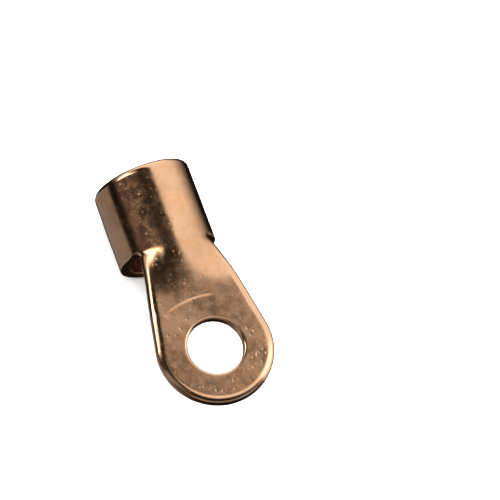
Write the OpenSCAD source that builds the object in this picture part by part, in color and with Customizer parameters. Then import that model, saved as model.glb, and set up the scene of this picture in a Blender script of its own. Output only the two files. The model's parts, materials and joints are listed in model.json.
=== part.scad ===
// Copper cable lug: a ring palm, a flared neck and a rolled barrel, pressed
// from one thick sheet. Millimetres. The origin is the centre of the stud hole
// on the contact face. +Z is the normal of the contact face, +X runs from the
// hole to the barrel's mouth. The contact face is tangent to the barrel, so the
// palm is the barrel's own sheet opened out flat.

/* [Sheet] */
// Thickness of the copper sheet
sheet_t = 2; // [1.9:0.1:2.2]
// Rounding of the sheet's edges on the contact side
edge_r = 1; // [0.8:0.2:1]
// Rounding of the sheet's edges on the back
back_r = 0.3; // [0.2:0.1:0.3]

/* [Palm] */
// Diameter of the stud hole
hole_d = 10.5; // [8.4:0.1:13]
// Rounding of the stud hole's rim on the contact side
hole_edge_r = 0.5; // [0.3:0.1:0.7]
// Outside diameter of the ring round the stud hole
ring_d = 22; // [22:1:24]

/* [Neck] */
// Width of the palm where it leaves the barrel, in plan
neck_w = 14; // [14:1:15]
// Length over which the sheet turns from flat to the barrel's curve
bend_len = 14; // [12:2:16]
// How late the turn comes: a higher number keeps the palm flat for longer
bend_power = 2; // [2:1:3]

/* [Barrel] */
// Outside diameter of the barrel
barrel_d = 18.9; // [18:0.9:19.8]
// Length of the barrel
barrel_len = 16.1; // [12:0.1:24]
// Rounding of the barrel's outer edge at the mouth
mouth_r = 0.7; // [0.4:0.1:0.7]
// Width of the groove along the butt seam
seam_w = 0.25; // [0.25:0.05:0.4]
// Depth of the groove along the butt seam, outside and inside
seam_depth = 0.45; // [0.3:0.05:0.6]

/* [Hidden] */
// Distance from the hole's centre to the near end of the barrel. It is fixed,
// because at other lengths the neck doesn't join into one closed solid.
neck_x = 22;
$fn = 96;
ring_r = ring_d / 2;
barrel_r = barrel_d / 2;
bore_r = barrel_r - sheet_t;
mouth_x = neck_x + barrel_len;
// The neck's straight sides leave the ring as tangents and reach the barrel at
// half the neck's width.
side_reach = sqrt(neck_x * neck_x + neck_w * neck_w / 4);
side_a = asin(ring_r / side_reach) - atan2(neck_w / 2, neck_x);
tan_x = ring_r * sin(side_a);
tan_y = ring_r * cos(side_a);
side_len = (neck_x - tan_x) / cos(side_a);
flat_x = neck_x - bend_len;
// The bent stretch is drawn a hair inside its neighbours' faces.
skin = 0.03;
bend_steps = 18;
top_steps = 18;
round_steps = 5;

// Half the palm's width in plan at a distance along the lug
function half_w(x) = tan_y - (x - tan_x) * tan(side_a);
// Curvature of the sheet across the lug, from 0 on the flat to 1 / barrel_r
function bend(x) = pow(max(0, (x - flat_x) / bend_len), bend_power) / barrel_r;
// A point of the sheet's section: y is the place across the contact side in
// plan, d is the depth below that side, x is the distance along the lug.
function on_sheet(x, y, d) =
    let (k = bend(x))
    k < 0.00001 ? [x, y, -d]
    : let (a = asin(y * k), r = 1 / k - d)
      [x, r * sin(a), r * cos(a) - 1 / k];
// One side of a section as [y, d] pairs, from one edge to the other: w is half
// its width, d the depth of that side, r its edges' rounding, up is 1 for the
// contact side and -1 for the back.
function strip(w, d, r, up) = concat(
    [for (i = [0 : round_steps - 1]) let (a = 90 * i / round_steps)
        [-w + r - r * cos(a), d + up * (r - r * sin(a))]],
    [for (i = [0 : top_steps]) [(w - r) * (2 * i / top_steps - 1), d]],
    [for (i = [1 : round_steps]) let (a = 90 * i / round_steps)
        [w - r + r * sin(a), d + up * (r - r * cos(a))]]);
function section(w) = concat(
    strip(w - skin, skin, edge_r, 1),
    strip(w - skin, sheet_t - skin, back_r, -1));

// Section of a rounded edge, from the inside at x = 0 out to x = w.
module edge_section(w) {
    translate([0, -sheet_t]) square([w - edge_r, sheet_t]);
    translate([0, back_r - sheet_t]) square([w, sheet_t - edge_r - back_r]);
    translate([0, -sheet_t]) square([w - back_r, sheet_t / 2]);
    translate([w - edge_r, -edge_r]) circle(r = edge_r);
    translate([w - back_r, back_r - sheet_t]) circle(r = back_r);
}

// The flat part of the palm, with its stud hole. Its pieces meet face to face.
module palm() {
    rim_w = 3;
    in_r = ring_r - rim_w;
    side_from = 90 - side_a;
    // Inner ring, with the hole's rolled rim
    rotate_extrude() {
        translate([hole_d / 2, back_r - sheet_t])
            square([in_r - hole_d / 2, sheet_t - hole_edge_r - back_r]);
        translate([hole_d / 2 + back_r, -sheet_t])
            square([in_r - hole_d / 2 - back_r, sheet_t / 2]);
        translate([hole_d / 2 + hole_edge_r, -sheet_t / 2])
            square([in_r - hole_d / 2 - hole_edge_r, sheet_t / 2]);
        translate([hole_d / 2 + hole_edge_r, -hole_edge_r])
            circle(r = hole_edge_r);
        translate([hole_d / 2 + back_r, back_r - sheet_t])
            circle(r = back_r);
    }
    // Outer rim round the end of the palm
    rotate([0, 0, side_from]) rotate_extrude(angle = 360 - 2 * side_from)
        translate([in_r, 0]) edge_section(rim_w);
    // Web between the straight sides
    difference() {
        translate([0, 0, -sheet_t]) linear_extrude(sheet_t) polygon([
            [0, 0],
            [in_r * sin(side_a), in_r * cos(side_a)],
            [flat_x, half_w(flat_x) - rim_w / cos(side_a)],
            [flat_x, rim_w / cos(side_a) - half_w(flat_x)],
            [in_r * sin(side_a), -in_r * cos(side_a)]]);
        translate([0, 0, -2 * sheet_t]) cylinder(r = in_r, h = 4 * sheet_t);
    }
    // Rims of the straight sides, cut square where the bent stretch begins
    difference() {
        for (s = [0, 1]) mirror([0, s, 0])
            translate([tan_x, tan_y, 0]) rotate([0, 0, -side_a])
                rotate([90, 0, 90]) linear_extrude(side_len)
                    translate([-rim_w, 0]) edge_section(rim_w);
        translate([flat_x, -ring_d, -3 * sheet_t])
            cube([2 * bend_len + 10, 2 * ring_d, 6 * sheet_t]);
    }
}

// The stretch where the flat sheet turns into the barrel's curve.
module shoulder() {
    m = len(strip(5, 0, 1, 1));
    n = 2 * m;
    xs = [for (i = [0 : bend_steps]) flat_x + bend_len * i / bend_steps];
    pts = [for (x = xs) for (p = section(half_w(x))) on_sheet(x, p[0], p[1])];
    last = (len(xs) - 1) * n;
    top = [for (i = [0 : len(xs) - 2], j = [0 : m - 2])
        let (a = i * n + j) each [[a, a + 1, a + 1 + n], [a, a + 1 + n, a + n]]];
    back = [for (i = [0 : len(xs) - 2], j = [0 : m - 2])
        let (a = i * n + m + j) each [[a + 1, a, a + n], [a + 1, a + n, a + 1 + n]]];
    edges = [for (i = [0 : len(xs) - 2]) let (a = i * n, b = a + n, c = a + m - 1)
        each [[a, b, a + m], [a + m, b, b + m],
              [c, c + m, c + n], [c + n, c + m, c + m + n]]];
    ends = [for (j = [0 : m - 2]) each [
        [j, j + m, j + 1], [j + 1, j + m, j + 1 + m],
        [last + j, last + j + 1, last + j + m],
        [last + j + 1, last + j + 1 + m, last + j + m]]];
    polyhedron(points = pts, faces = concat(top, back, edges, ends), convexity = 6);
}

// The rolled barrel: a round tube, square at the near end and rounded at the
// mouth, with a butt seam along its back.
module barrel() {
    difference() {
        translate([neck_x, 0, -barrel_r]) rotate([0, 90, 0])
            rotate_extrude() {
                translate([bore_r, 0])
                    square([sheet_t, barrel_len - mouth_r]);
                translate([bore_r + back_r, barrel_len / 2])
                    square([sheet_t - mouth_r - back_r, barrel_len / 2]);
                translate([bore_r, barrel_len / 2])
                    square([sheet_t / 2, barrel_len / 2 - back_r]);
                translate([bore_r + back_r, barrel_len - back_r])
                    circle(r = back_r);
                translate([barrel_r - mouth_r, barrel_len - mouth_r])
                    circle(r = mouth_r);
            }
        for (z = [-barrel_d, -barrel_d + sheet_t])
            translate([neck_x - 1, -seam_w / 2, z - seam_depth])
                cube([barrel_len + 2, seam_w, 2 * seam_depth]);
    }
}

module cable_lug() {
    color([0.72, 0.45, 0.3]) union() {
        palm();
        shoulder();
        barrel();
    }
}

cable_lug();
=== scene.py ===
"""Looks of the copper cable lug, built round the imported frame. Metres."""
import json
import math

import bpy
import numpy as np
from mathutils import Matrix, Vector
from mathutils.geometry import delaunay_2d_cdt


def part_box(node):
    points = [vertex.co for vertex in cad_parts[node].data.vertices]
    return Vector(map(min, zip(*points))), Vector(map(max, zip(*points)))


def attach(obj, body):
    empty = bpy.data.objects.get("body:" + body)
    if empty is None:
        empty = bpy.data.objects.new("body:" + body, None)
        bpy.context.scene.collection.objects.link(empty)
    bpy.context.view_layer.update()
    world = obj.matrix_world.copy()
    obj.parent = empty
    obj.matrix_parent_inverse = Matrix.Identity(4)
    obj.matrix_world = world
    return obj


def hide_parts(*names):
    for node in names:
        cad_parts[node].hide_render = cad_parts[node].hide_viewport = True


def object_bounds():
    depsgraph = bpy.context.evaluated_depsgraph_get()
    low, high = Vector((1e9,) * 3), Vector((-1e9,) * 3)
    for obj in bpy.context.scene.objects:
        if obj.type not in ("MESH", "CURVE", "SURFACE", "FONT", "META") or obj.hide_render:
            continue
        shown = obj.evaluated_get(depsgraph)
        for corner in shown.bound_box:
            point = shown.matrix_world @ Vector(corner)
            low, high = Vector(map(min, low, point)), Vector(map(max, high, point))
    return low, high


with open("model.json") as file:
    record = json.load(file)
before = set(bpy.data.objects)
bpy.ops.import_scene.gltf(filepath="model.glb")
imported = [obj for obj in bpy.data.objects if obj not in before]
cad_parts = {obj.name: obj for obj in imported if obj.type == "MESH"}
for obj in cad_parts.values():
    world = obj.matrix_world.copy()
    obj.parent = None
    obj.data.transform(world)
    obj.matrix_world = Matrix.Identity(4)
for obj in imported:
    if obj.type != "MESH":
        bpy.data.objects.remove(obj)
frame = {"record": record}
cad_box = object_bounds()
record = frame["record"]
MM = 0.001

# ---------------------------------------------------------------- sizes (mm)
# They are the CAD part's own, read from the frame where it gives them.
mounts = {m["name"]: m for m in record["mounts"]}
lo, hi = [np.array(c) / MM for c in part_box("cable_lug")]
RING_R = -lo[0]                                  # ring outside radius
MOUTH_X = hi[0]                                  # barrel mouth
HOLE_R = mounts["stud_hole"]["dims"]["r_mm"]
BORE_R = mounts["barrel_bore"]["dims"]["r_mm"]
AXIS_Z = mounts["barrel_bore"]["pos_m"][2] / MM
BARREL_R = -AXIS_Z                               # the contact face is tangent to it
SHEET = BARREL_R - BORE_R
NECK_X = 22.0                                    # near end of the barrel
NECK_W = 14.0
BEND_LEN = 13.0
BEND_POWER = 2.3
EDGE_R = 1.0
BACK_R = 0.3
HOLE_EDGE_R = 0.5
MOUTH_R = 0.9
END_R = 0.22
FILLET = 0.7
MOUTH_SKEW = 0.6

reach = math.hypot(NECK_X, NECK_W / 2)
SIDE_A = math.asin(RING_R / reach) - math.atan2(NECK_W / 2, NECK_X)
TAN_X, TAN_Y = RING_R * math.sin(SIDE_A), RING_R * math.cos(SIDE_A)
SEAM_T = math.pi * BARREL_R - 0.11               # half the blank's width at the barrel
GRID = 0.30


# ------------------------------------------------------------- sheet forming
def curvature(x, t=0.0):
    """Curvature across the lug: 0 on the palm, 1 / BARREL_R on the barrel. The
    turn starts a little earlier on the +Y side."""
    w = 0.10                                     # a short rounding at the barrel's end
    start = NECK_X - BEND_LEN - 0.20 * np.clip(t, -9, 9)
    u = np.clip((np.asarray(x, float) - start) / (NECK_X - start), 0, None) ** BEND_POWER
    u = u * (1 + w)
    u = np.where(u < 1 - w, u, u - (np.clip(u, None, 1 + w) - (1 - w)) ** 2 / (4 * w))
    return np.where(np.asarray(x, float) >= NECK_X, 1.0, np.minimum(u, 1.0)) / BARREL_R


def form(x, t, d):
    """Blank coordinates (along, across, depth below the contact side) to space."""
    k = curvature(x, t)
    a = t * k
    kk = np.where(k < 1e-7, 1.0, k)
    y = np.where(k < 1e-7, t, (1 / kk - d) * np.sin(a))
    z = np.where(k < 1e-7, -d, (1 / kk - d) * np.cos(a) - 1 / kk)
    return np.stack([np.broadcast_to(x, y.shape), y, z], -1)


def flank_t(x, side=1):
    """Half width of the blank along the straight sides, for a straight plan."""
    y = TAN_Y - (x - TAN_X) * math.tan(SIDE_A)
    y += 0.16 * math.exp(-((x - 19.5) / 2.6) ** 2)
    k = float(curvature(x, side * y))
    return y if k < 1e-7 else math.asin(min(1, y * k)) / k


# ------------------------------------------------------------- blank outline
def half_outline(side):
    """Half the outline, from the ring's tip to the middle of the mouth."""
    pts, r1, r2 = [], [], []

    def add(x, t, a, b):
        pts.append((x, t)); r1.append(a); r2.append(b)

    # ring, from the tip to the tangent point
    a_end = math.pi / 2 - SIDE_A
    n = 66
    for i in range(n):
        a = math.pi - (math.pi - a_end) * i / n
        add(RING_R * math.cos(a), RING_R * math.sin(a), EDGE_R, BACK_R)
    # straight side, down to the fillet at the neck
    x_f = NECK_X - FILLET * 1.05
    n = 64
    for i in range(n + 1):
        x = TAN_X + (x_f - TAN_X) * i / n
        add(x, flank_t(x, side), EDGE_R, BACK_R)
    # concave fillet into the barrel's near edge
    x0, t0 = pts[-1]
    x1, t1 = NECK_X, t0 + FILLET * 1.1
    c0 = (x0 + FILLET * 0.62, flank_t(x0 + FILLET * 0.6, side))
    c1 = (x1, t1 - FILLET * 0.62)
    n = 8
    for i in range(1, n):
        s = i / n
        b = [(1 - s) ** 3, 3 * s * (1 - s) ** 2, 3 * s * s * (1 - s), s ** 3]
        x = b[0] * x0 + b[1] * c0[0] + b[2] * c1[0] + b[3] * x1
        t = b[0] * t0 + b[1] * c0[1] + b[2] * c1[1] + b[3] * t1
        e = s * s * (3 - 2 * s)
        add(x, t, EDGE_R + (0.55 - EDGE_R) * e, BACK_R + (END_R - BACK_R) * e)
    # barrel's near edge
    rc = 0.45
    n = 66
    for i in range(n + 1):
        t = t1 + (SEAM_T - rc - t1) * i / n
        e = min(1.0, (t - t1) / 1.6); e = e * e * (3 - 2 * e)
        add(NECK_X, t, 0.55 + (END_R - 0.55) * e, END_R)
    for i in range(1, 5):
        a = math.pi / 2 * i / 5
        add(NECK_X + rc - rc * math.cos(a), SEAM_T - rc + rc * math.sin(a), END_R, END_R)
    # seam edge
    n = 44
    for i in range(n + 1):
        add(NECK_X + rc + (MOUTH_X - NECK_X - 2 * rc) * i / n, SEAM_T, END_R, END_R)
    for i in range(1, 5):
        a = math.pi / 2 * i / 5
        add(MOUTH_X - rc + rc * math.sin(a), SEAM_T - rc + rc * math.cos(a), END_R, END_R)
    # mouth edge, to the middle
    n = 96
    for i in range(n + 1):
        t = (SEAM_T - rc) * (1 - i / n)
        e = min(1.0, (SEAM_T - rc - t) / 3.0); e = e * e * (3 - 2 * e)
        add(MOUTH_X, t, END_R + (MOUTH_R - END_R) * e, END_R + (BACK_R - END_R) * e)
    return list(zip(pts, r1, r2))


def blank_outline():
    """Closed outline of the blank from the ring's tip over +t to the mouth and
    back: points, and rounding radii on the contact side and the back."""
    half = half_outline(1)
    other = [((p[0], -p[1]), a, b) for p, a, b in half_outline(-1)[1:-1]][::-1]
    full = half + other

    # the mouth was cut a little askew: shorter on the +Y side
    def askew(p):
        w = min(1.0, max(0.0, (p[0] - (MOUTH_X - 3)) / 3))
        return (p[0] - w * MOUTH_SKEW * 0.5 * (1 + math.sin(p[1] / BARREL_R)), p[1])
    full = [(askew(p), a, b) for p, a, b in full]
    return (np.array([f[0] for f in full]), np.array([f[1] for f in full]),
            np.array([f[2] for f in full]))


def inward(pts):
    """Unit normals into the blank at each point of a closed outline."""
    tan = np.roll(pts, -1, 0) - np.roll(pts, 1, 0)
    tan /= np.linalg.norm(tan, axis=1)[:, None]
    nrm = np.stack([tan[:, 1], -tan[:, 0]], -1)
    return nrm


# ------------------------------------------------------ small surface shapes
rng = np.random.default_rng(41)
WAVES = []
for wl, amp, num in ((11.0, 0.010, 5), (5.5, 0.0042, 8), (2.6, 0.0013, 10)):
    for _ in range(num):
        a = rng.uniform(0, 2 * math.pi)
        WAVES.append((math.cos(a) * 2 * math.pi / wl, math.sin(a) * 2 * math.pi / wl,
                      rng.uniform(0, 2 * math.pi), amp * rng.uniform(0.5, 1.0)))


def waves(x, t, shift=0.0):
    """Slight waviness of pressed sheet, mm, always into the sheet."""
    h = np.zeros(np.shape(x))
    for fx, ft, ph, amp in WAVES:
        h = h + amp * (0.5 + 0.5 * np.sin(fx * x + ft * t + ph + shift))
    return h


# one long handling scratch across the palm and a few short faint ones
SCRATCHES = [
    # control points (x, t), half width, depth
    ([(8.7, 6.3), (9.55, 4.0), (10.45, 1.2), (9.72, -3.6)], 0.078, 0.034),
    ([(8.3, 7.3), (8.25, 6.6), (8.35, 5.9)], 0.08, 0.014),
    ([(7.6, 6.9), (7.9, 6.2), (8.0, 5.5)], 0.08, 0.010),
]


def bezier_run(ctrl, n):
    ctrl = [np.array(c, float) for c in ctrl]
    out = []
    for i in range(n + 1):
        s = i / n
        q = ctrl
        while len(q) > 1:
            q = [a + (b - a) * s for a, b in zip(q[:-1], q[1:])]
        out.append(q[0])
    return np.array(out)


RUNS = [(bezier_run(c, 120), w, dp) for c, w, dp in SCRATCHES]

# dents: (x, t, radius, depth); clusters lie round the ring, as handling leaves
DENTS = []
for cx, ct, spread, num in ((-3.5, -7.4, 1.6, 12), (-7.6, -2.6, 1.5, 8), (-7.0, 4.0, 1.7, 7),
                            (2.0, -7.8, 1.2, 4), (14.0, 1.0, 3.5, 7), (27.0, 3.5, 4.0, 16),
                            (33.0, 5.0, 2.5, 8), (19.0, 3.0, 2.5, 9), (6.0, 7.0, 2.0, 5)):
    for _ in range(num):
        x, t = cx + rng.normal(0, spread), ct + rng.normal(0, spread)
        DENTS.append((x, t, rng.uniform(0.09, 0.18), rng.uniform(0.012, 0.028)))
for _ in range(110):
    x, t = rng.uniform(-9, 36), rng.uniform(-12, 12)
    DENTS.append((x, t, rng.uniform(0.06, 0.13), rng.uniform(0.005, 0.012)))


def blank_margin(x, t):
    """Rough distance from a blank point to the outline and the hole, mm."""
    r = np.hypot(x, t)
    if x < TAN_X:
        m = RING_R - r
    elif x < NECK_X:
        m = (flank_t(x) - abs(t)) * math.cos(SIDE_A)
    else:
        m = min(SEAM_T - abs(t), MOUTH_X - x)
        if abs(t) > flank_t(NECK_X - 0.01):
            m = min(m, x - NECK_X)
    if x >= TAN_X and x > 20:
        m = min(m, MOUTH_X - x)
    return min(m, r - HOLE_R)


DENTS = [q for q in DENTS if blank_margin(q[0], q[1]) > EDGE_R + 0.35]


def relief(x, t):
    """Depth of the contact side's small shapes, mm."""
    # the palm is very slightly hollow where the blank was pressed flat
    h = waves(x, t) + 0.050 * np.exp(-((x - 8.5) / 5.0) ** 2 - ((t - 2.0) / 7.5) ** 2)
    h = h + 0.02 - 0.045 * np.exp(-((x - 4.5) / 4.5) ** 2 - ((t - 9.5) / 4.0) ** 2)
    for run, w, dp in RUNS:
        box = ((x > run[:, 0].min() - 0.5) & (x < run[:, 0].max() + 0.5)
               & (t > run[:, 1].min() - 0.5) & (t < run[:, 1].max() + 0.5))
        if not box.any():
            continue
        q = np.stack([x[box], t[box]], -1)
        d2 = ((q[:, None, :] - run[None]) ** 2).sum(-1)
        j = d2.argmin(1)
        step = np.gradient(run, axis=0)
        step /= np.linalg.norm(step, axis=1)[:, None]
        # signed distance, positive on the side away from the hole
        u = (q[:, 0] - run[j, 0]) * -step[j, 1] + (q[:, 1] - run[j, 1]) * step[j, 0]
        away = np.sqrt(d2.min(1))
        u = np.where(np.abs(u) < away * 0.7, away * np.sign(u + 1e-9), u)
        e = j / (len(run) - 1)
        fade = np.clip(np.minimum(e, 1 - e) * 7, 0, 1)
        near = np.clip(1 + u / (2.6 * w), 0, 1) * (u <= 0)
        far = np.clip(1 - u / (0.9 * w), 0, 1) * (u > 0)
        g = near + far
        h[box] += dp * fade * g * g * (3 - 2 * g)
    h = np.maximum(h, 0.0)
    for cx, ct, r, dp in DENTS:
        m = np.abs(x - cx) < 3 * r
        if m.any():
            q = ((x[m] - cx) ** 2 + (t[m] - ct) ** 2) / (r * r)
            h[m] += dp * np.exp(-q * 1.4)
    return h


# -------------------------------------------------------------- build a side
def fill(loop, hole, extra, grid, skew):
    """Triangles between a loop and a hole loop, through grid points."""
    def inside_poly(p, poly):
        x, y = p[:, 0], p[:, 1]
        res = np.zeros(len(p), bool)
        q = np.roll(poly, -1, 0)
        for (ax, ay), (bx, by) in zip(poly, q):
            if ay == by:
                continue
            c = (ay > y) != (by > y)
            res ^= c & (x < (bx - ax) * (y - ay) / (by - ay) + ax)
        return res

    xs = np.arange(loop[:, 0].min(), loop[:, 0].max() + grid, grid)
    ts = np.arange(loop[:, 1].min(), loop[:, 1].max() + grid, grid * 0.92)
    gx, gt = np.meshgrid(xs, ts, indexing="ij")
    gt = gt + (np.arange(len(xs)) % 2)[:, None] * grid * 0.46
    g = np.stack([gx.ravel(), gt.ravel()], -1)
    if len(extra):
        # drop grid points close to the finer ones
        keep = np.ones(len(g), bool)
        e = np.asarray(extra)
        for i in range(0, len(e), 400):
            blk = e[i:i + 400]
            lo_, hi_ = blk.min(0) - 0.3, blk.max(0) + 0.3
            m = np.where(keep & ((g > lo_) & (g < hi_)).all(1))[0]
            if len(m):
                d2 = ((g[m][:, None] - blk[None]) ** 2).sum(-1).min(1)
                keep[m[d2 < (grid * 0.42) ** 2]] = False
        g = np.concatenate([g[keep], e])
    g = g[inside_poly(g, loop)]
    g = g[~inside_poly(g, hole)]
    for poly in (loop, hole):
        for i in range(0, len(poly), 60):
            blk = poly[i:i + 61]
            lo_, hi_ = blk.min(0) - grid, blk.max(0) + grid
            m = np.where(((g > lo_) & (g < hi_)).all(1))[0]
            if len(m):
                d2 = ((g[m][:, None] - blk[None]) ** 2).sum(-1).min(1)
                drop = np.zeros(len(g), bool)
                drop[m[d2 < (grid * 0.55) ** 2]] = True
                g = g[~drop]
    nl, nh = len(loop), len(hole)
    allp = np.concatenate([loop, hole, g])
    edges = [(i, (i + 1) % nl) for i in range(nl)]
    edges += [(nl + i, nl + (i + 1) % nh) for i in range(nh)]
    vs, _, fs, vo, _, _ = delaunay_2d_cdt([Vector(p) for p in allp], edges, [], 0, 1e-7, True)
    ids = [o[0] for o in vo]
    tri = np.array([[ids[a] for a in f] for f in fs])
    c = allp[tri].mean(1)
    ok = inside_poly(c, loop) & ~inside_poly(c, hole)
    tri = tri[ok]
    a, b, c = allp[tri[:, 0]], allp[tri[:, 1]], allp[tri[:, 2]]
    area = (b[:, 0] - a[:, 0]) * (c[:, 1] - a[:, 1]) - (b[:, 1] - a[:, 1]) * (c[:, 0] - a[:, 0])
    tri = tri[np.abs(area) > 1e-9]
    area = area[np.abs(area) > 1e-9]
    tri[area < 0] = tri[area < 0][:, ::-1]
    return allp, tri, nl, nh


out_pts, R1, R2 = blank_outline()
N_IN = inward(out_pts)
hole_n = 132
ha = np.arange(hole_n) / hole_n * 2 * math.pi
hole_dir = np.stack([np.cos(ha), np.sin(ha)], -1)

TOP_STEPS, WALL_STEPS, LOW_STEPS = 7, 3, 4


def rim_profile(r1, r2):
    """(inward offset, depth, kind) rows down a rounded edge; r1, r2 are arrays."""
    rows = []
    wide = 1 + 0.45 * np.clip((r1 - 0.55) / 0.45, 0, 1)      # wider than deep where large
    for i in range(TOP_STEPS + 1):
        a = math.pi / 2 * i / TOP_STEPS
        rows.append((r1 * wide * (1 - math.sin(a)), r1 * (1 - math.cos(a))))
    for i in range(1, WALL_STEPS + 1):
        s = i / WALL_STEPS
        rows.append((r1 * 0, r1 + (SHEET - r2 - r1) * s))
    for i in range(1, LOW_STEPS + 1):
        a = math.pi / 2 * i / LOW_STEPS
        rows.append((r2 * (1 - math.cos(a)), SHEET - r2 + r2 * math.sin(a)))
    return rows


verts, faces = [], []
attr_rim, attr_cut, attr_run, attr_deep = [], [], [], []     # per vertex


def push(xtd, rim, cut, run):
    base = len(verts)
    p = form(xtd[:, 0], xtd[:, 1], xtd[:, 2])
    verts.extend(p.tolist())
    attr_rim.extend(np.broadcast_to(rim, len(p)).tolist())
    attr_cut.extend(np.broadcast_to(cut, len(p)).tolist())
    attr_run.extend(np.broadcast_to(run, len(p)).tolist())
    attr_deep.extend((xtd[:, 2] / SHEET).tolist())
    return base


# fine points along the scratches and round the dents
extra = []
for run, w, dp in RUNS:
    tan = np.gradient(run, axis=0)
    tan /= np.linalg.norm(tan, axis=1)[:, None]
    nrm = np.stack([tan[:, 1], -tan[:, 0]], -1)
    seg = np.concatenate([[0], np.cumsum(np.linalg.norm(np.diff(run, axis=0), axis=1))])
    for s in np.arange(0, seg[-1], 0.11):
        i = min(int(np.searchsorted(seg, s)), len(run) - 1)
        for o in (-0.24, -0.12, 0.0, 0.12, 0.24):
            extra.append(run[i] + nrm[i] * o * (w / 0.1))
for cx, ct, r, dp in DENTS:
    if dp < 0.008:
        continue
    extra.append((cx, ct))
    for rr, num in ((0.6 * r, 6), (1.25 * r, 9), (2.0 * r, 11)):
        for i in range(num):
            a = 2 * math.pi * (i + 0.37 * rr) / num
            extra.append((cx + rr * math.cos(a), ct + rr * math.sin(a)))
extra = np.array(extra)
# keep the fine points apart from each other
order = []
cell = {}
for i, p in enumerate(extra):
    key = (int(p[0] // 0.07), int(p[1] // 0.07))
    near = any((extra[j] - p) @ (extra[j] - p) < 0.0035
               for dx in (-1, 0, 1) for dy in (-1, 0, 1)
               for j in cell.get((key[0] + dx, key[1] + dy), ()))
    if not near:
        cell.setdefault(key, []).append(i)
        order.append(i)
extra = extra[order]

edge_s = np.concatenate([[0], np.cumsum(np.linalg.norm(np.diff(out_pts, axis=0), axis=1))])
rows = rim_profile(R1, R2)
hole_rows = rim_profile(np.full(hole_n, HOLE_EDGE_R), np.full(hole_n, BACK_R))

# contact side
loop0 = out_pts + N_IN * rows[0][0][:, None]
hole0 = hole_dir * (HOLE_R + hole_rows[0][0])[:, None]
P, T, nl, nh = fill(loop0, hole0, extra, GRID, 0)
dep = relief(P[:, 0], P[:, 1])
near_rim = np.zeros(len(P)); near_rim[:nl + nh] = 1.0
top_base = push(np.column_stack([P, dep]), near_rim * 0.5, 0.0, 0.0)
for a, b, c in T:
    faces.append((top_base + a, top_base + b, top_base + c))
top_loop = [top_base + i for i in range(nl)]
top_hole = [top_base + nl + i for i in range(nh)]
top_loop_dep, top_hole_dep = dep[:nl], dep[nl:nl + nh]

# back
loopN = out_pts + N_IN * rows[-1][0][:, None]
holeN = hole_dir * (HOLE_R + hole_rows[-1][0])[:, None]
Pb, Tb, nlb, nhb = fill(loopN, holeN, np.zeros((0, 2)), GRID * 1.25, 0)
depb = SHEET - waves(Pb[:, 0], Pb[:, 1], 1.7) * 0.8
back_base = push(np.column_stack([Pb, depb]), 0.0, 0.0, 0.0)
for a, b, c in Tb:
    faces.append((back_base + a, back_base + c, back_base + b))
back_loop = [back_base + i for i in range(nlb)]
back_hole = [back_base + nlb + i for i in range(nhb)]


def wall(rows, base_pts, normals, first, last, first_dep, last_dep, s, closed_dir):
    """Skin down a rounded edge between two loops that exist already."""
    prev = first
    n = len(base_pts)
    total = len(rows)
    for j in range(1, total - 1):
        off, dj = rows[j]
        fade0 = max(0.0, 1 - j / TOP_STEPS)
        fade1 = max(0.0, 1 - (total - 1 - j) / LOW_STEPS)
        d = dj + first_dep * fade0 - (SHEET - last_dep) * fade1
        q = base_pts + normals * off[:, None]
        is_wall = TOP_STEPS <= j <= TOP_STEPS + WALL_STEPS
        cut = 1.0 if is_wall else (0.5 if j > TOP_STEPS else max(0.0, (j - TOP_STEPS + 2) / 3))
        rim = 1.0 if 1 <= j <= TOP_STEPS else 0.3
        b = push(np.column_stack([q, d]), rim, cut, s)
        cur = [b + i for i in range(n)]
        for i in range(n):
            k = (i + 1) % n
            quad = (prev[i], prev[k], cur[k], cur[i])
            faces.append(quad if closed_dir > 0 else quad[::-1])
        prev = cur
    for i in range(n):
        k = (i + 1) % n
        quad = (prev[i], prev[k], last[k], last[i])
        faces.append(quad if closed_dir > 0 else quad[::-1])


wall(rows, out_pts, N_IN, top_loop, back_loop, top_loop_dep, depb[:nlb], edge_s, 1)
wall(hole_rows, hole_dir * HOLE_R, hole_dir, top_hole, back_hole, top_hole_dep,
     depb[nlb:nlb + nhb], ha * HOLE_R, 1)

V = np.array(verts) * MM
mesh = bpy.data.meshes.new("cable_lug_sheet")
mesh.from_pydata(V.tolist(), [], faces)
mesh.validate(verbose=False)
for name, vals in (("rim", attr_rim), ("cut", attr_cut), ("run", attr_run), ("deep", attr_deep)):
    at = mesh.attributes.new(name, "FLOAT", "POINT")
    at.data.foreach_set("value", np.array(vals, np.float32))
lug = bpy.data.objects.new("cable_lug_sheet", mesh)
bpy.context.scene.collection.objects.link(lug)

import bmesh
bm = bmesh.new()
bm.from_mesh(mesh)
bmesh.ops.recalc_face_normals(bm, faces=bm.faces)
open_edges = sum(1 for e in bm.edges if not e.is_manifold)
vol = bm.calc_volume(signed=True)
if vol < 0:
    bmesh.ops.reverse_faces(bm, faces=bm.faces)
bm.to_mesh(mesh)
bm.free()
for p in mesh.polygons:
    p.use_smooth = True
print("lug mesh:", len(mesh.vertices), "verts", sum(len(p.vertices) - 2 for p in mesh.polygons),
      "triangles, open edges", open_edges, "volume mm3", round(abs(vol) * 1e9, 1))

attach(lug, "root")
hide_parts("cable_lug")


# ----------------------------------------------------------------- material
mat = bpy.data.materials.new("copper_satin")
mat.use_nodes = True
nt = mat.node_tree
bsdf = nt.nodes["Principled BSDF"]
bsdf.inputs["Metallic"].default_value = 1.0


def put(socket, v):
    if isinstance(v, bpy.types.NodeSocket):
        nt.links.new(v, socket)
    else:
        socket.default_value = v


def scaled(v):
    """Object coordinates in millimetres times v."""
    n = nt.nodes.new("ShaderNodeMapping")
    nt.links.new(obj_co, n.inputs["Vector"])
    n.inputs["Scale"].default_value = [c * 1000.0 for c in v]
    return n.outputs[0]


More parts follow.
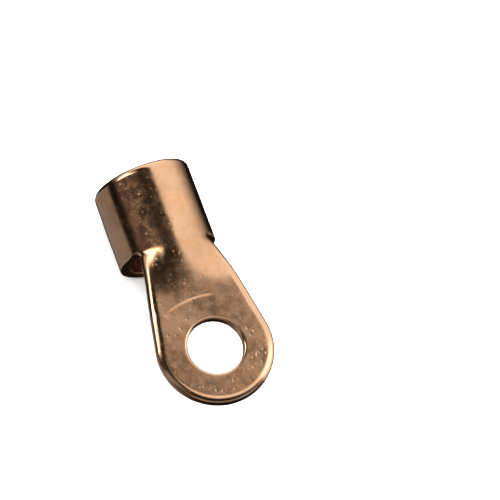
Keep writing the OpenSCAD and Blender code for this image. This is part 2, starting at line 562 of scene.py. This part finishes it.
def noise(co, scale, detail=3.0, rough=0.5, seed=0.0):
    n = nt.nodes.new("ShaderNodeTexNoise")
    n.noise_dimensions = "4D"
    nt.links.new(co, n.inputs["Vector"])
    n.inputs["Scale"].default_value = scale
    n.inputs["Detail"].default_value = detail
    n.inputs["Roughness"].default_value = rough
    n.inputs["W"].default_value = seed
    return n.outputs["Fac"]


def cells(co, scale):
    n = nt.nodes.new("ShaderNodeTexVoronoi")
    nt.links.new(co, n.inputs["Vector"])
    n.inputs["Scale"].default_value = scale
    return n.outputs["Distance"], n.outputs["Color"]


def ramp(v, lo_, hi_, lo_v=0.0, hi_v=1.0):
    n = nt.nodes.new("ShaderNodeMapRange")
    n.interpolation_type = "SMOOTHSTEP"
    nt.links.new(v, n.inputs["Value"])
    for k, q in (("From Min", lo_), ("From Max", hi_), ("To Min", lo_v), ("To Max", hi_v)):
        n.inputs[k].default_value = q
    return n.outputs["Result"]


def op(kind, p, q):
    n = nt.nodes.new("ShaderNodeMath")
    n.operation = kind
    put(n.inputs[0], p)
    put(n.inputs[1], q)
    return n.outputs[0]


def blend(f, p, q):
    n = nt.nodes.new("ShaderNodeMix")
    n.data_type = "RGBA"
    put(n.inputs[0], f)
    put(n.inputs[6], p)
    put(n.inputs[7], q)
    return n.outputs[2]


def attribute(name):
    n = nt.nodes.new("ShaderNodeAttribute")
    n.attribute_name = name
    return n.outputs["Fac"]


def bump(height, dist, before=None):
    n = nt.nodes.new("ShaderNodeBump")
    n.inputs["Strength"].default_value = 1.0
    n.inputs["Distance"].default_value = dist * MM
    nt.links.new(height, n.inputs["Height"])
    if before is not None:
        nt.links.new(before, n.inputs["Normal"])
    return n.outputs[0]


obj_co = nt.nodes.new("ShaderNodeTexCoord").outputs["Object"]
mm_co = scaled((1, 1, 1))
rim, cut, run, deep = [attribute(k) for k in ("rim", "cut", "run", "deep")]
cloud = noise(mm_co, 0.20, 4.0, 0.55)
patch = noise(mm_co, 0.65, 5.0, 0.62, 3.0)
grain = noise(mm_co, 9.0, 3.0, 0.7, 5.0)
brushed = noise(scaled((7.0, 0.5, 0.5)), 1.0, 3.0, 0.6, 7.0)
drawn = noise(scaled((0.35, 6.0, 6.0)), 1.0, 3.0, 0.6, 9.0)
# small pits: the centres of some cells
pit_d, pit_c = cells(mm_co, 1.35)
sep = nt.nodes.new("ShaderNodeSeparateColor")
nt.links.new(pit_c, sep.inputs[0])
pits = op("MULTIPLY", ramp(pit_d, 0.14, 0.05), ramp(sep.outputs[0], 0.62, 0.70))
fine_d, fine_c = cells(mm_co, 3.6)
sep2 = nt.nodes.new("ShaderNodeSeparateColor")
nt.links.new(fine_c, sep2.inputs[0])
specks = op("MULTIPLY", op("MULTIPLY", ramp(fine_d, 0.22, 0.08), ramp(sep2.outputs[1], 0.55, 0.65)),
            ramp(patch, 0.44, 0.60))
# colour: clean copper, a browner tarnish in clouds, dull pits, rounded rims lighter partly as wear
# and partly as a painted highlight
clean = (0.860, 0.505, 0.298, 1)
tarnish = (0.735, 0.405, 0.228, 1)
stain = (0.400, 0.215, 0.125, 1)
col = blend(ramp(cloud, 0.40, 0.66), clean, tarnish)
col = blend(ramp(patch, 0.52, 0.76, 0.0, 0.45), col, tarnish)
col = blend(op("MULTIPLY", pits, 0.45), col, stain)
col = blend(op("MULTIPLY", specks, 0.50), col, (0.95, 0.72, 0.53, 1))
# painted highlight: the rounded edges get a lighter copper colour, partly wear, partly the light
# they catch
col = blend(op("MULTIPLY", rim, 0.55), col, (0.93, 0.59, 0.375, 1))
# the sheared edge is duller and streaked across
streak_co = nt.nodes.new("ShaderNodeCombineXYZ")
nt.links.new(op("MULTIPLY", run, 5.5), streak_co.inputs[0])
nt.links.new(op("MULTIPLY", deep, 1.3), streak_co.inputs[1])
streaks = noise(streak_co.outputs[0], 1.0, 3.0, 0.65, 2.0)
col = blend(op("MULTIPLY", cut, ramp(streaks, 0.35, 0.68, 0.35, 0.80)), col,
            (0.470, 0.250, 0.140, 1))
# the back and the inside are darker with oxide
back = ramp(deep, 0.72, 0.98)
col = blend(op("MULTIPLY", back, ramp(cloud, 0.30, 0.70, 0.45, 0.75)), col,
            (0.400, 0.200, 0.112, 1))
nt.links.new(col, bsdf.inputs["Base Color"])
# gloss: satin, duller where tarnished, sheared or inside
gloss = op("ADD", ramp(patch, 0.35, 0.72, 0.120, 0.200), ramp(cloud, 0.35, 0.70, -0.01, 0.035))
gloss = op("ADD", gloss, op("MULTIPLY", ramp(grain, 0.3, 0.7, -1.0, 1.0), 0.022))
gloss = op("ADD", gloss, op("MULTIPLY", rim, -0.035))
gloss = op("ADD", gloss, op("MULTIPLY", cut, 0.16))
gloss = op("ADD", gloss, op("MULTIPLY", back, 0.13))
gloss = op("ADD", gloss, op("MULTIPLY", pits, 0.20))
nt.links.new(gloss, bsdf.inputs["Roughness"])
# fine relief
nrm = bump(grain, 0.0013)
nrm = bump(brushed, 0.0015, nrm)
nrm = bump(drawn, 0.0008, nrm)
nrm = bump(patch, 0.005, nrm)
nrm = bump(op("MULTIPLY", pits, -1.0), 0.020, nrm)
nrm = bump(specks, 0.009, nrm)
nrm = bump(op("MULTIPLY", cut, streaks), 0.030, nrm)
nt.links.new(nrm, bsdf.inputs["Normal"])
mesh.materials.append(mat)

# -------------------------------------------------------------------- floor
sc = bpy.context.scene
fm = bpy.data.meshes.new("floor")
S = 3.0
zf = float(cad_box[0][2])
fm.from_pydata([(-S, -S, zf), (S, -S, zf), (S, S, zf), (-S, S, zf)], [], [(0, 1, 2, 3)])
floor = bpy.data.objects.new("floor", fm)
sc.collection.objects.link(floor)
fmat = bpy.data.materials.new("floor_pale")
fmat.use_nodes = True
fb = fmat.node_tree.nodes["Principled BSDF"]
fb.inputs["Base Color"].default_value = (0.9, 0.9, 0.9, 1)
fb.inputs["Roughness"].default_value = 0.9
fm.materials.append(fmat)

# ------------------------------------------------------------------- camera
MX = np.array([-0.33977, 0.89621, -0.28524])
MY = np.array([-0.92562, -0.26488, 0.27032])
MZ = np.array([0.16671, 0.35587, 0.91955])
D, SC, TXX, TYY = 700.0, 5.4817, 216.0778, 345.6184
M = np.column_stack([MX, MY, MZ])                # columns: lug axes in camera frame
u_, _, vt_ = np.linalg.svd(M)
M = u_ @ vt_
cam_mm = M.T @ np.array([-(TXX - 250) / SC, (TYY - 250) / SC, D])
cam = bpy.data.cameras.new("camera")
cam.sensor_width = 36.0
cam.lens = SC * D / 500 * 36
cam.clip_start, cam.clip_end = 0.05, 20
cam_ob = bpy.data.objects.new("camera", cam)
sc.collection.objects.link(cam_ob)
rot = Matrix([list(r) for r in M.T])             # columns: camera right, up, back
mw = rot.to_4x4()
mw.translation = Vector(cam_mm * MM)
cam_ob.matrix_world = mw
sc.camera = cam_ob

# ------------------------------------------------------------------- lights
# A dim studio with a large soft panel on the -Y side and a small bright one
# towards +X. The panels are soft-edged regions of the world's own directions,
# so they stay put when the view moves. The camera itself sees a pale backdrop.
world = bpy.data.worlds.new("studio")
sc.world = world
world.use_nodes = True
wt = world.node_tree
wt.nodes.clear()
w_out = wt.nodes.new("ShaderNodeOutputWorld")
w_bg = wt.nodes.new("ShaderNodeBackground")
w_pale = wt.nodes.new("ShaderNodeBackground")
w_pale.inputs["Color"].default_value = (1.0, 1.0, 1.0, 1)
w_mix = wt.nodes.new("ShaderNodeMixShader")
w_path = wt.nodes.new("ShaderNodeLightPath")
wt.links.new(w_path.outputs["Is Camera Ray"], w_mix.inputs[0])
wt.links.new(w_bg.outputs[0], w_mix.inputs[1])
wt.links.new(w_pale.outputs[0], w_mix.inputs[2])
wt.links.new(w_mix.outputs[0], w_out.inputs["Surface"])
w_dir = wt.nodes.new("ShaderNodeTexCoord").outputs["Generated"]


def along(axis, lo_, hi_, lo_v=0.0, hi_v=1.0):
    """Smooth step of a direction's component along an axis."""
    d = wt.nodes.new("ShaderNodeVectorMath")
    d.operation = "DOT_PRODUCT"
    d.inputs[1].default_value = axis
    wt.links.new(w_dir, d.inputs[0])
    m = wt.nodes.new("ShaderNodeMapRange")
    m.interpolation_type = "SMOOTHSTEP"
    m.inputs["From Min"].default_value = lo_
    m.inputs["From Max"].default_value = hi_
    m.inputs["To Min"].default_value = lo_v
    m.inputs["To Max"].default_value = hi_v
    wt.links.new(d.outputs["Value"], m.inputs["Value"])
    return m.outputs["Result"]


def calc(op, p, q):
    n = wt.nodes.new("ShaderNodeMath")
    n.operation = op
    for i, v in enumerate((p, q)):
        if isinstance(v, (int, float)):
            n.inputs[i].default_value = v
        else:
            wt.links.new(v, n.inputs[i])
    return n.outputs[0]


def product(*vals):
    out = vals[0]
    for v in vals[1:]:
        out = calc("MULTIPLY", out, v)
    return out


X_, Y_, Z_ = (1, 0, 0), (0, 1, 0), (0, 0, 1)
SLANT = (0.563, -0.827, 0)                       # towards the large panel
LEAN = (-0.928, 0.371, 0)                        # across the bright strip
PANELS = [
    # the large soft panel on the -Y side
    (product(along(SLANT, 0.333, 0.457), along(Z_, -0.55, 0.40), along(X_, -0.9, -0.1, 0.35, 1.0),
             along(X_, 0.95, 0.60, 0.35, 1.0)), (1.0, 0.99, 0.97), 1.02),
    # a narrow bright strip towards +X and +Y, high up
    (product(along(X_, 0.390, 0.460), calc("MAXIMUM", along(LEAN, -0.33, -0.285),
                                           along(Y_, 0.40, 0.52)), along(Y_, 0.12, 0.24),
             along(Y_, 0.95, 0.80), along(Z_, 0.28, 0.42), along(X_, 0.80, 0.64, 0.35, 1.0)),
     (1.0, 0.98, 0.95), 4.0),
    # soft reflectors: over the -X side, on the +Y side, low at both ends
    (product(along(X_, 0.27, 0.07), along(X_, -0.42, -0.04), along(Y_, 0.18, -0.12),
             along(Z_, 0.15, 0.60)), (1.0, 0.97, 0.93), 1.05),
    (product(along(X_, 0.16, -0.02), along(X_, -0.45, -0.12, 0.05, 1.0), along(Y_, 0.15, 0.45),
             along(Z_, -0.15, 0.15), along(Z_, 0.97, 0.85)), (1.0, 0.98, 0.95), 0.26),
    (product(along(X_, -0.55, -0.80), along(Z_, 0.08, 0.28), along(Z_, 0.72, 0.50)),
     (1.0, 0.98, 0.96), 0.26),
    (product(along(X_, 0.62, 0.84), along(Z_, -0.15, 0.10), along(Z_, 0.70, 0.50)),
     (1.0, 0.98, 0.96), 0.75),
    (product(along(X_, -0.30, -0.52), along(Y_, -0.25, -0.45), along(Z_, 0.10, 0.30),
             along(Z_, 0.80, 0.62)), (1.0, 0.98, 0.95), 0.19),
    (product(along(X_, -0.30, -0.52), along(Y_, 0.25, 0.45), along(Z_, 0.20, 0.38),
             along(Z_, 0.76, 0.62)), (1.0, 0.98, 0.95), 0.13),
    # a low glow overhead, dying out towards the horizon
    (product(along(Z_, 0.22, 0.55), along(X_, -0.6, 0.25, 0.25, 1.0)), (1.0, 0.90, 0.76), 0.016),
    (product(along(Z_, 0.18, 0.34), along(Z_, 0.62, 0.40), along(Y_, 0.5, 0.85)),
     (1.0, 0.78, 0.66), 0.075),
    # the table's own dim light from below
    (product(along(Z_, -0.07, -0.17), along(X_, 0.62, 0.36), along(X_, -0.5, 0.1),
             along(Y_, 0.0, 0.3)), (0.96, 1.0, 1.04), 0.27),
    (product(along(Z_, -0.05, -0.25), along(Z_, -0.90, -0.60), along(X_, 0.20, 0.0),
             along(X_, -0.75, -0.35)),
     (1.0, 1.0, 1.0), 0.17),
]
total = None
for mask, colour, level in PANELS:
    c = wt.nodes.new("ShaderNodeVectorMath")
    c.operation = "SCALE"
    c.inputs[0].default_value = [v * level for v in colour]
    wt.links.new(mask, c.inputs["Scale"])
    if total is None:
        total = c.outputs[0]
    else:
        add_ = wt.nodes.new("ShaderNodeVectorMath")
        add_.operation = "ADD"
        wt.links.new(total, add_.inputs[0])
        wt.links.new(c.outputs[0], add_.inputs[1])
        total = add_.outputs[0]
base_ = wt.nodes.new("ShaderNodeVectorMath")
base_.operation = "ADD"
base_.inputs[1].default_value = (0.007, 0.006, 0.0055)
wt.links.new(total, base_.inputs[0])
wt.links.new(base_.outputs[0], w_bg.inputs["Color"])
sc.view_settings.view_transform = "Standard"


def area(name, pos, target, size, power, color=(1, 1, 1)):
    l = bpy.data.lights.new(name, "AREA")
    l.shape = "RECTANGLE"
    l.size, l.size_y = size
    l.energy = power
    l.color = color
    o = bpy.data.objects.new(name, l)
    sc.collection.objects.link(o)
    o.location = pos
    o.rotation_mode = "QUATERNION"
    o.rotation_quaternion = (Vector(target) - Vector(pos)).to_track_quat("-Z", "Y")
    o.visible_camera = False
    return o


# the floor's own soft light from above; the copper is lit by the studio
over = area("over", (0.05, -0.1, 1.0), (0.01, 0, 0), (1.6, 1.6), 60.0)
over.visible_glossy = False
floor.visible_glossy = False
